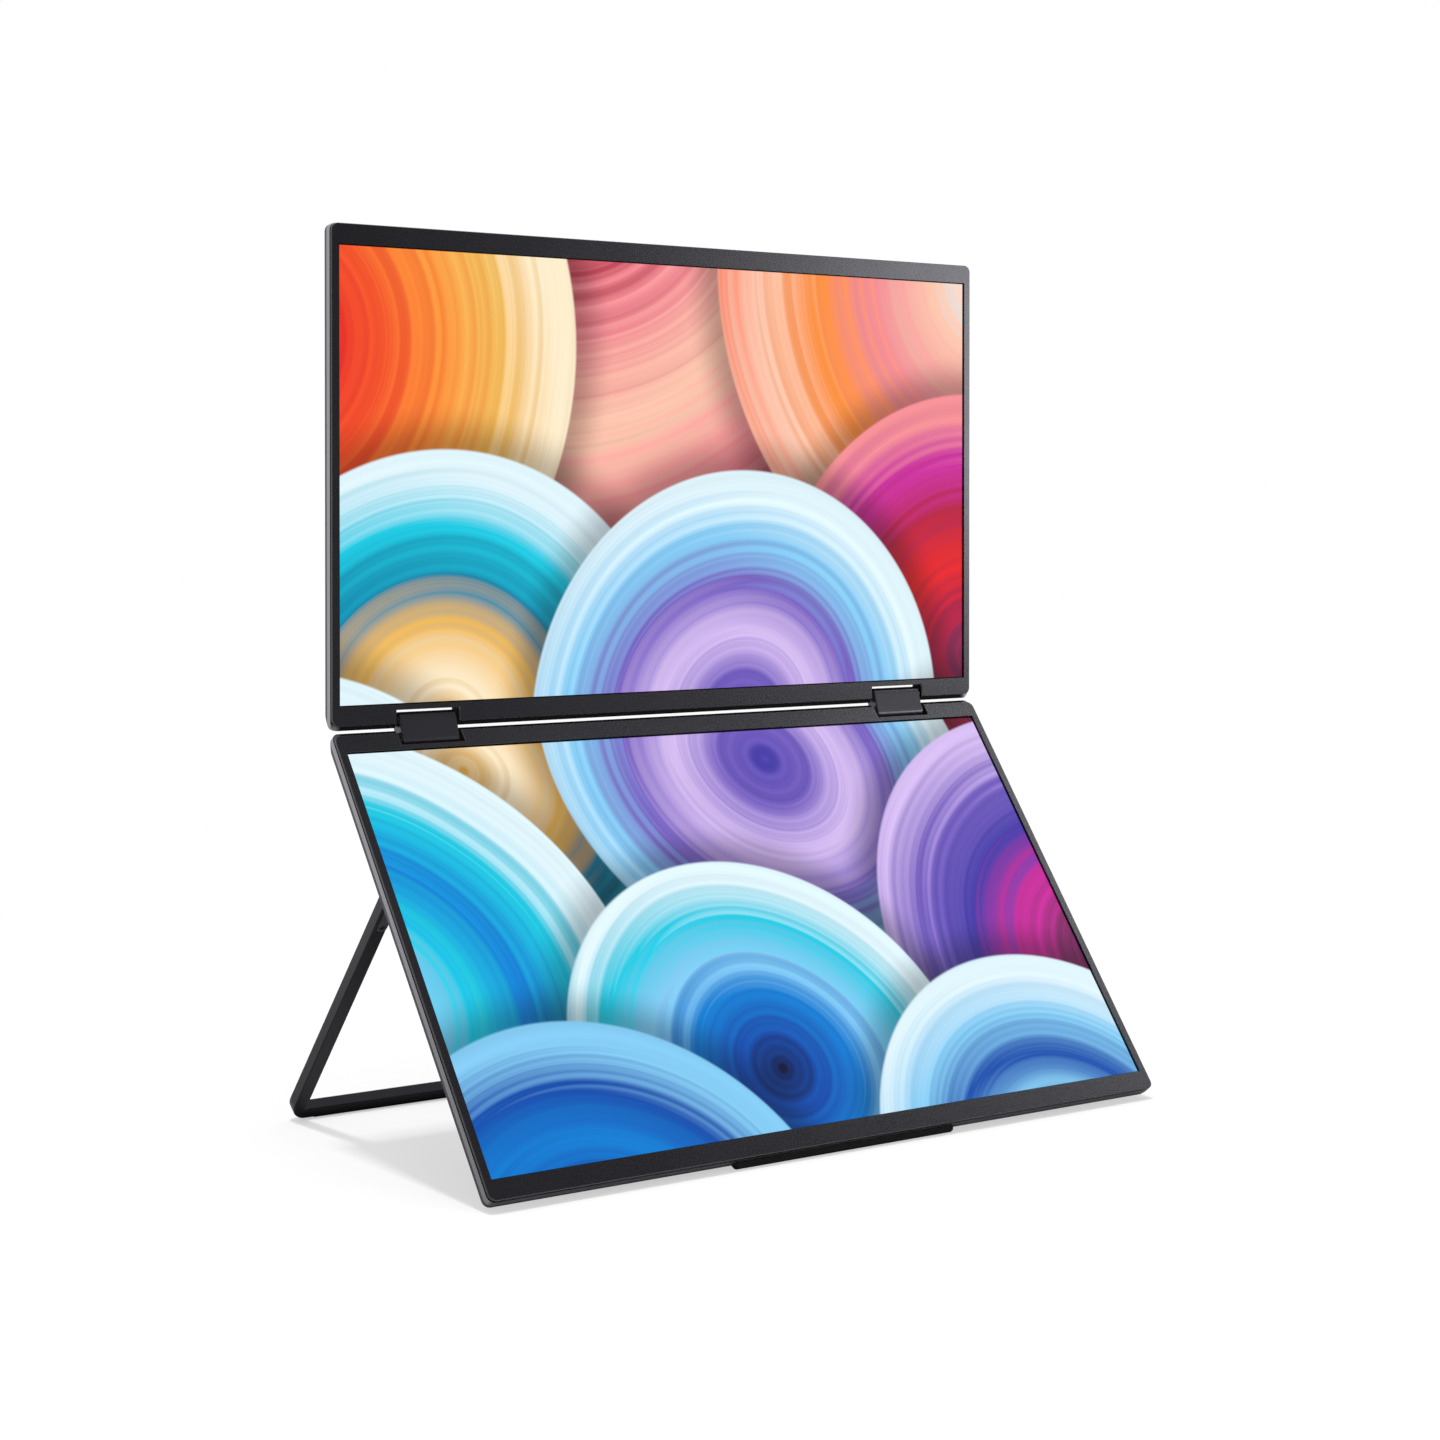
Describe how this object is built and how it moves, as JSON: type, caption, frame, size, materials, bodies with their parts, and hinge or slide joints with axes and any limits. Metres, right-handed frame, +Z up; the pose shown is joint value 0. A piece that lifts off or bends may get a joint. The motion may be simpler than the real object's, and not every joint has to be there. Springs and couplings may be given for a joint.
{
  "type": "dual-screen portable monitor",
  "caption": "Portable monitor with stacked, hinged flat screens, friction hinge blocks between them, a folding U-shaped rear stand, rubber feet and side sockets.",
  "frame": {"origin": "on the table, under the middle of the object's box", "axes": "+X to the viewer's right along the hinge, +Y away from the viewer, +Z up"},
  "size_m": [0.3526, 0.195, 0.3897],
  "materials": {
    "shell_metal": "dark grey anodised, satin",
    "bezel_plastic": "fine matt texture",
    "screen_glass": "anti-glare",
    "light_guide": "clear acrylic with white films",
    "light_bar": "plain",
    "circuit_board": "solder mask",
    "hinge_steel": "dark plated",
    "hinge_cover": "fine matt texture",
    "stand_metal": "dark grey anodised, satin",
    "foot_rubber": "matt",
    "housing_plastic": "fine matt texture",
    "screw_steel": "black oxide",
    "socket_metal": "bright",
    "button_plastic": "satin"
  },
  "bodies": {
    "lower_panel": {"lower_rear_shell": "shell_metal", "lower_front_bezel": "bezel_plastic", "lower_lcd_panel": "screen_glass", "lower_backlight": "light_guide", "lower_light_bar": "light_bar", "lower_driver_board": "circuit_board", "lower_left_hinge_leaf": "hinge_steel", "lower_right_hinge_leaf": "hinge_steel", "lower_hinge_shafts": "hinge_steel", "lower_hinge_screws": "screw_steel", "foot_strip": "foot_rubber", "electronics_housing": "housing_plastic", "housing_screws": "screw_steel", "main_board": "circuit_board", "usb_c_ports": "socket_metal", "mini_hdmi_port": "socket_metal", "button_board": "circuit_board", "left_stand_base": "hinge_steel", "right_stand_base": "hinge_steel", "stand_base_screws": "screw_steel", "stand_pins": "hinge_steel"},
    "hinge_links": {"left_hinge_block": "hinge_cover", "right_hinge_block": "hinge_cover", "friction_clips": "hinge_steel", "hinge_washers": "hinge_steel"},
    "upper_panel": {"upper_rear_shell": "shell_metal", "upper_front_bezel": "bezel_plastic", "upper_lcd_panel": "screen_glass", "upper_backlight": "light_guide", "upper_light_bar": "light_bar", "upper_driver_board": "circuit_board", "upper_left_hinge_leaf": "hinge_steel", "upper_right_hinge_leaf": "hinge_steel", "upper_hinge_shafts": "hinge_steel", "upper_hinge_screws": "screw_steel"},
    "kickstand": {"kickstand_frame": "stand_metal", "left_stand_leaf": "hinge_steel", "right_stand_leaf": "hinge_steel", "stand_leaf_screws": "screw_steel", "stand_foot_strip": "foot_rubber"},
    "power_button": {"power_button": "button_plastic"},
    "plus_button": {"plus_button": "button_plastic"},
    "minus_button": {"minus_button": "button_plastic"}
  },
  "joints": [
    {"name": "lower_axle", "type": "hinge", "parent": "lower_panel", "child": "hinge_links", "pos_m": [0, 0.03129, 0.17136], "axis": [1, 0, 0], "range_deg": [-63.4, 71.5]},
    {"name": "upper_axle", "type": "hinge", "parent": "hinge_links", "child": "upper_panel", "pos_m": [0, 0.03397, 0.1794], "axis": [1, 0, 0], "range_deg": [-63.4, 71.5]},
    {"name": "stand_hinge", "type": "hinge", "parent": "lower_panel", "child": "kickstand", "pos_m": [0, -0.00059, 0.1174], "axis": [1, 0, 0], "range_deg": [-76.4, 13.4]},
    {"name": "power_press", "type": "slide", "parent": "lower_panel", "child": "power_button", "axis": [1, 0, 0], "range_m": [0, 0.0005], "stiffness_N_per_m": 1500},
    {"name": "plus_press", "type": "slide", "parent": "lower_panel", "child": "plus_button", "axis": [1, 0, 0], "range_m": [0, 0.0005], "stiffness_N_per_m": 1500},
    {"name": "minus_press", "type": "slide", "parent": "lower_panel", "child": "minus_button", "axis": [1, 0, 0], "range_m": [0, 0.0005], "stiffness_N_per_m": 1500}
  ]
}
